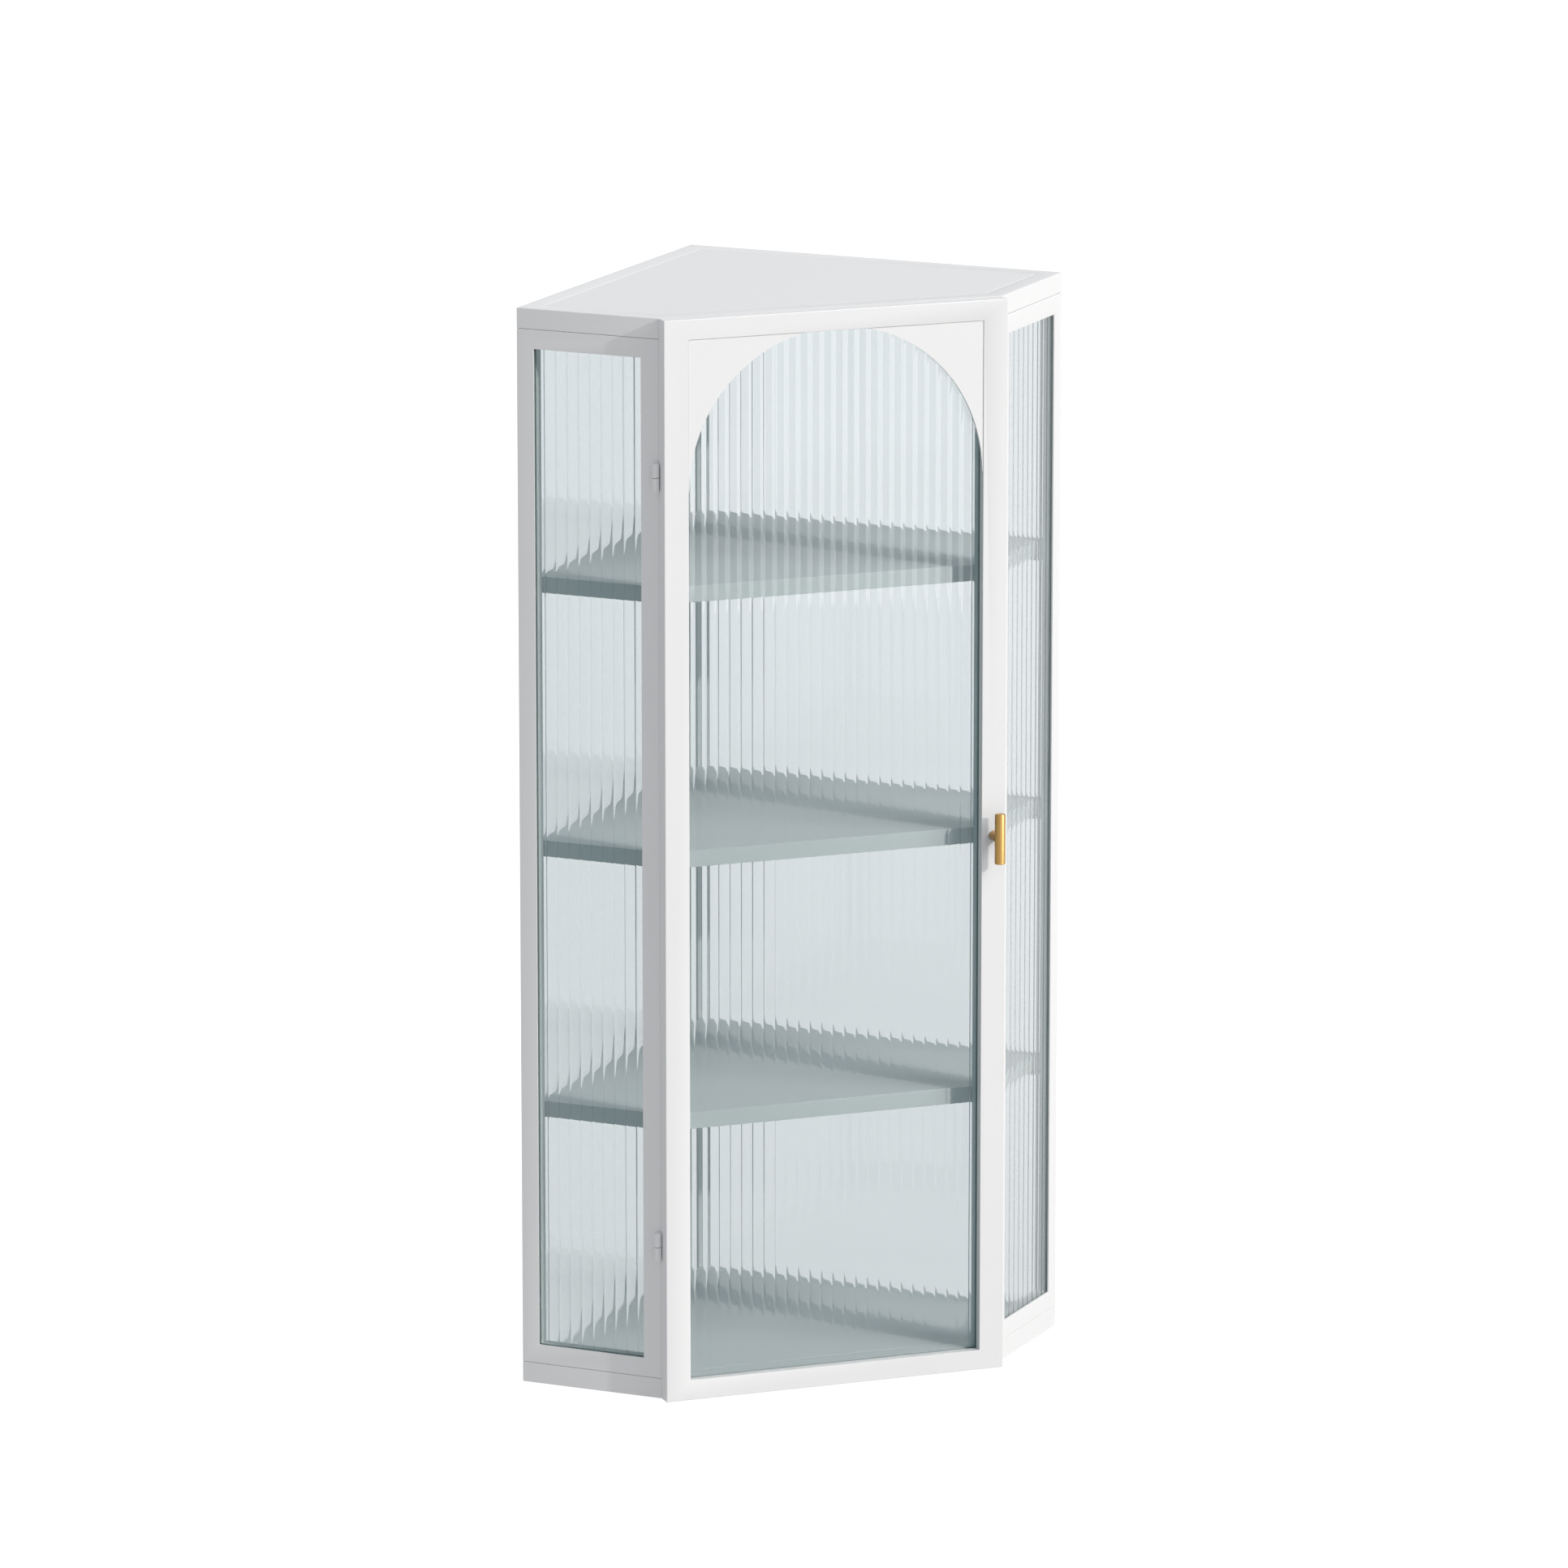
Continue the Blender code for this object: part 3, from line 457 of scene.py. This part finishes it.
up = Vector((0, 0, 1))
knuckle_bore = 0.0023
knuckle_bore_depth = 0.0103
knuckle_crown = 0.0018
knuckle_lip = 0.0003
for level in ("lower", "upper"):
    for body, part, hand in (("case", "case_knuckle", -1), ("door", "door_knuckle", 1)):
        node = f"{level}_hinge_{part}"
        low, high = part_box(node)
        middle = (low + high) / 2
        radius = (high.x - low.x) / 2
        length = high.z - low.z
        inner_end = Vector((middle.x, middle.y, low.z if hand > 0 else high.z))
        profile = [(0, knuckle_bore_depth), (knuckle_bore, knuckle_bore_depth), (knuckle_bore, 0)]
        profile += [(radius - knuckle_lip, 0), (radius, knuckle_lip)]
        profile += rounded(radius, length, knuckle_crown)
        profile += [(0, length)]
        knuckle = turned_shape(profile, inner_end, up * hand, segments=40)
        add_piece(node + "_steel", knuckle, body, white_coat, [node])


# Knob
# A T of solid brass: a bar brushed along its length, on a short stem that is saddled to it. A screw through
# the door's stile holds the stem from behind.
brass_dark = (0.45, 0.262, 0.08, 1)
brass_bright = (0.56, 0.35, 0.13, 1)
bar_fillet = 0.0011
brass, shader = brushed_metal("brushed_brass", brass_dark, brass_bright, smooth=0.26, rough=0.34)
round_the_bar = brass.node_tree.nodes.new("ShaderNodeTangent")
round_the_bar.direction_type = "RADIAL"
round_the_bar.axis = "Z"
brass.node_tree.links.new(round_the_bar.outputs["Tangent"], shader.inputs["Tangent"])
shader.inputs["Anisotropic"].default_value = 0.9
shader.inputs["Anisotropic Rotation"].default_value = 0.25
low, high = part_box("knob_bar")
bar_radius = (high.x - low.x) / 2
bar_centre = (low + high) / 2
bar_half = (high.z - low.z) / 2
upper_end = rounded(bar_radius, bar_half, bar_fillet)
profile = [(0, -bar_half)] + [(radius, -place) for radius, place in reversed(upper_end)]
profile += upper_end + [(0, bar_half)]
bar = turned_shape(profile, bar_centre, up, segments=64)
add_piece("knob_bar_brass", bar, "door", brass, ["knob_bar"])
repaint("knob_stem", brass)


# Magnetic catch
# A sleeve moulded in white plastic and pressed into the landing holds the magnet, which meets a steel disc
# on the back of the door.
catch_dull = (0.8, 0.8, 0.79, 1)
catch_bright = (0.85, 0.85, 0.84, 1)
catch_white, shader, peel = skinned("moulded_white", catch_dull, catch_bright, smooth=0.4, rough=0.55)
repaint("catch_sleeve", catch_white)


# Floor, world and lamps
# The photograph is cut out on white, so the floor and the world are white to the camera and through glass.
# Reflections see a studio that darkens to the left, and part of the floor is lit and shaded by the lamps.
floor_size = 120
floor_drop = 0.0005
floor_colour = (0.8, 0.8, 0.8, 1)
floor_glow_share = 0.75
floor_light = 0.5
white_level = 1.28
sky_colour = (0.93, 0.96, 1, 1)
ambient = 0.5
dark_side = 0.4
bright_side = 1.2
darkest_at = -0.9
brightest_at = 0.6
reflected_distance = 2.4


def seen_level(nodes, join, rightwards):
    """One for the camera and through glass, a studio darkening to the left for reflections, else zero."""
    path = nodes.new("ShaderNodeLightPath")
    side = nodes.new("ShaderNodeMapRange")
    side.inputs["From Min"].default_value = darkest_at
    side.inputs["From Max"].default_value = brightest_at
    side.inputs["To Min"].default_value = dark_side
    side.inputs["To Max"].default_value = bright_side
    mirrored = nodes.new("ShaderNodeMath")
    mirrored.operation = "MULTIPLY"
    straight = nodes.new("ShaderNodeMath")
    straight.operation = "MAXIMUM"
    either = nodes.new("ShaderNodeMath")
    either.operation = "MAXIMUM"
    join(rightwards, side.inputs["Value"])
    join(path.outputs["Is Glossy Ray"], mirrored.inputs[0])
    join(side.outputs["Result"], mirrored.inputs[1])
    join(path.outputs["Is Camera Ray"], straight.inputs[0])
    join(path.outputs["Is Transmission Ray"], straight.inputs[1])
    join(straight.outputs["Value"], either.inputs[0])
    join(mirrored.outputs["Value"], either.inputs[1])
    return either.outputs["Value"]


shape = bmesh.new()
bmesh.ops.create_grid(shape, x_segments=1, y_segments=1, size=floor_size / 2)
bmesh.ops.translate(shape, verts=shape.verts, vec=(0, 0, -floor_drop))
mesh = bpy.data.meshes.new("floor")
shape.to_mesh(mesh)
shape.free()
floor = bpy.data.objects.new("floor", mesh)
bpy.context.scene.collection.objects.link(floor)
floor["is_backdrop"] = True
floor_paint, shader = new_material("floor_white")
nodes = floor_paint.node_tree.nodes
join = floor_paint.node_tree.links.new
shader.inputs["Base Color"].default_value = floor_colour
shader.inputs["Roughness"].default_value = 0.9
shader.inputs["Specular IOR Level"].default_value = 0
place = nodes.new("ShaderNodeTexCoord")
rightwards = nodes.new("ShaderNodeSeparateXYZ")
nearness = nodes.new("ShaderNodeMath")
nearness.operation = "DIVIDE"
nearness.inputs[1].default_value = reflected_distance
join(place.outputs["Object"], rightwards.inputs["Vector"])
join(rightwards.outputs["X"], nearness.inputs[0])
glow = nodes.new("ShaderNodeEmission")
glow.inputs["Color"].default_value = (1, 1, 1, 1)
strength = nodes.new("ShaderNodeMapRange")
strength.clamp = False
strength.inputs["To Min"].default_value = floor_light
strength.inputs["To Max"].default_value = white_level
join(seen_level(nodes, join, nearness.outputs["Value"]), strength.inputs["Value"])
join(strength.outputs["Result"], glow.inputs["Strength"])
blend = nodes.new("ShaderNodeMixShader")
blend.inputs["Fac"].default_value = floor_glow_share
join(shader.outputs["BSDF"], blend.inputs[1])
join(glow.outputs["Emission"], blend.inputs[2])
join(blend.outputs["Shader"], nodes["Material Output"].inputs["Surface"])
floor.data.materials.append(floor_paint)

world = bpy.data.worlds.new("studio")
world.use_nodes = True
world.cycles.sampling_method = "NONE"
bpy.context.scene.world = world
nodes = world.node_tree.nodes
join = world.node_tree.links.new
place = nodes.new("ShaderNodeTexCoord")
rightwards = nodes.new("ShaderNodeSeparateXYZ")
join(place.outputs["Generated"], rightwards.inputs["Vector"])
seen = seen_level(nodes, join, rightwards.outputs["X"])
light = nodes["Background"]
strength = nodes.new("ShaderNodeMapRange")
strength.clamp = False
strength.inputs["To Min"].default_value = ambient
strength.inputs["To Max"].default_value = 1
join(seen, strength.inputs["Value"])
join(strength.outputs["Result"], light.inputs["Strength"])
sky = nodes.new("ShaderNodeMix")
sky.data_type = "RGBA"
sky.inputs["A"].default_value = sky_colour
sky.inputs["B"].default_value = (1, 1, 1, 1)
join(seen, sky.inputs["Factor"])
join(sky.outputs["Result"], light.inputs["Color"])


def lamp(name, azimuth, elevation, distance, width, height, energy):
    """A rectangular soft light aimed at the cabinet, its azimuth counted from the door to the right."""
    azimuth, elevation = math.radians(azimuth), math.radians(elevation)
    towards = Vector(
        (
            math.sin(azimuth) * math.cos(elevation),
            -math.cos(azimuth) * math.cos(elevation),
            math.sin(elevation),
        )
    )
    data = bpy.data.lights.new(name, "AREA")
    data.shape = "RECTANGLE"
    data.size = width
    data.size_y = height
    data.energy = energy
    made = bpy.data.objects.new(name, data)
    made.location = view_centre + towards * distance
    made.rotation_euler = towards.to_track_quat("Z", "Y").to_euler()
    made.visible_camera = False
    made.visible_transmission = False
    bpy.context.scene.collection.objects.link(made)
    return made


def soft_box(name, azimuth, elevation, distance, size, level):
    """A lamp whose level is the colour that it gives a white face square to it."""
    made = lamp(name, azimuth, elevation, distance, size, size, max(level) * math.pi**2 * distance**2)
    made.data.color = [channel / max(level) for channel in level]


def strip_light(name, azimuth_low, azimuth_high):
    """A low panel in front of the door that its flutes catch as bright lines in the top bay only."""
    width = 2 * strip_distance * math.tan(math.radians(azimuth_high - azimuth_low) / 2)
    energy = strip_radiance * math.pi * width * strip_height
    azimuth = (azimuth_low + azimuth_high) / 2
    made = lamp(name, azimuth, 0, strip_distance, width, strip_height, energy)
    made.visible_diffuse = False
    heading = math.radians(azimuth)
    made.location = Vector((0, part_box("door_glass")[0].y, strip_foot + strip_height / 2)) + Vector(
        (math.sin(heading), -math.cos(heading), 0)
    ) * strip_distance


soft_box("key_light", azimuth=35, elevation=23.5, distance=20, size=0.33, level=(0.35, 0.326, 0.299))
soft_box("soft_fill", azimuth=42, elevation=41, distance=18, size=9, level=(0.325, 0.33, 0.335))
strip_distance = 3.2
strip_foot = 0.118
strip_height = 0.4
strip_radiance = 2.2
strip_light("left_strip", azimuth_low=-20, azimuth_high=15)
strip_light("right_strip", azimuth_low=27, azimuth_high=62)
# A tall panel that draws the highlight down the knob's bar
bar_light = lamp("bar_light", azimuth=44, elevation=27, distance=9, width=1.8, height=7, energy=1300)
bar_light.visible_diffuse = False

scene = bpy.context.scene
# Light that is caught between two ribbed panes needs more turns than the usual limits before it gets out
scene.cycles.max_bounces = 24
scene.cycles.glossy_bounces = 12
scene.cycles.transmission_bounces = 24
scene.cycles.caustics_refractive = False
scene.cycles.caustics_reflective = False
scene.view_settings.view_transform = "Standard"

low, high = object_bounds()
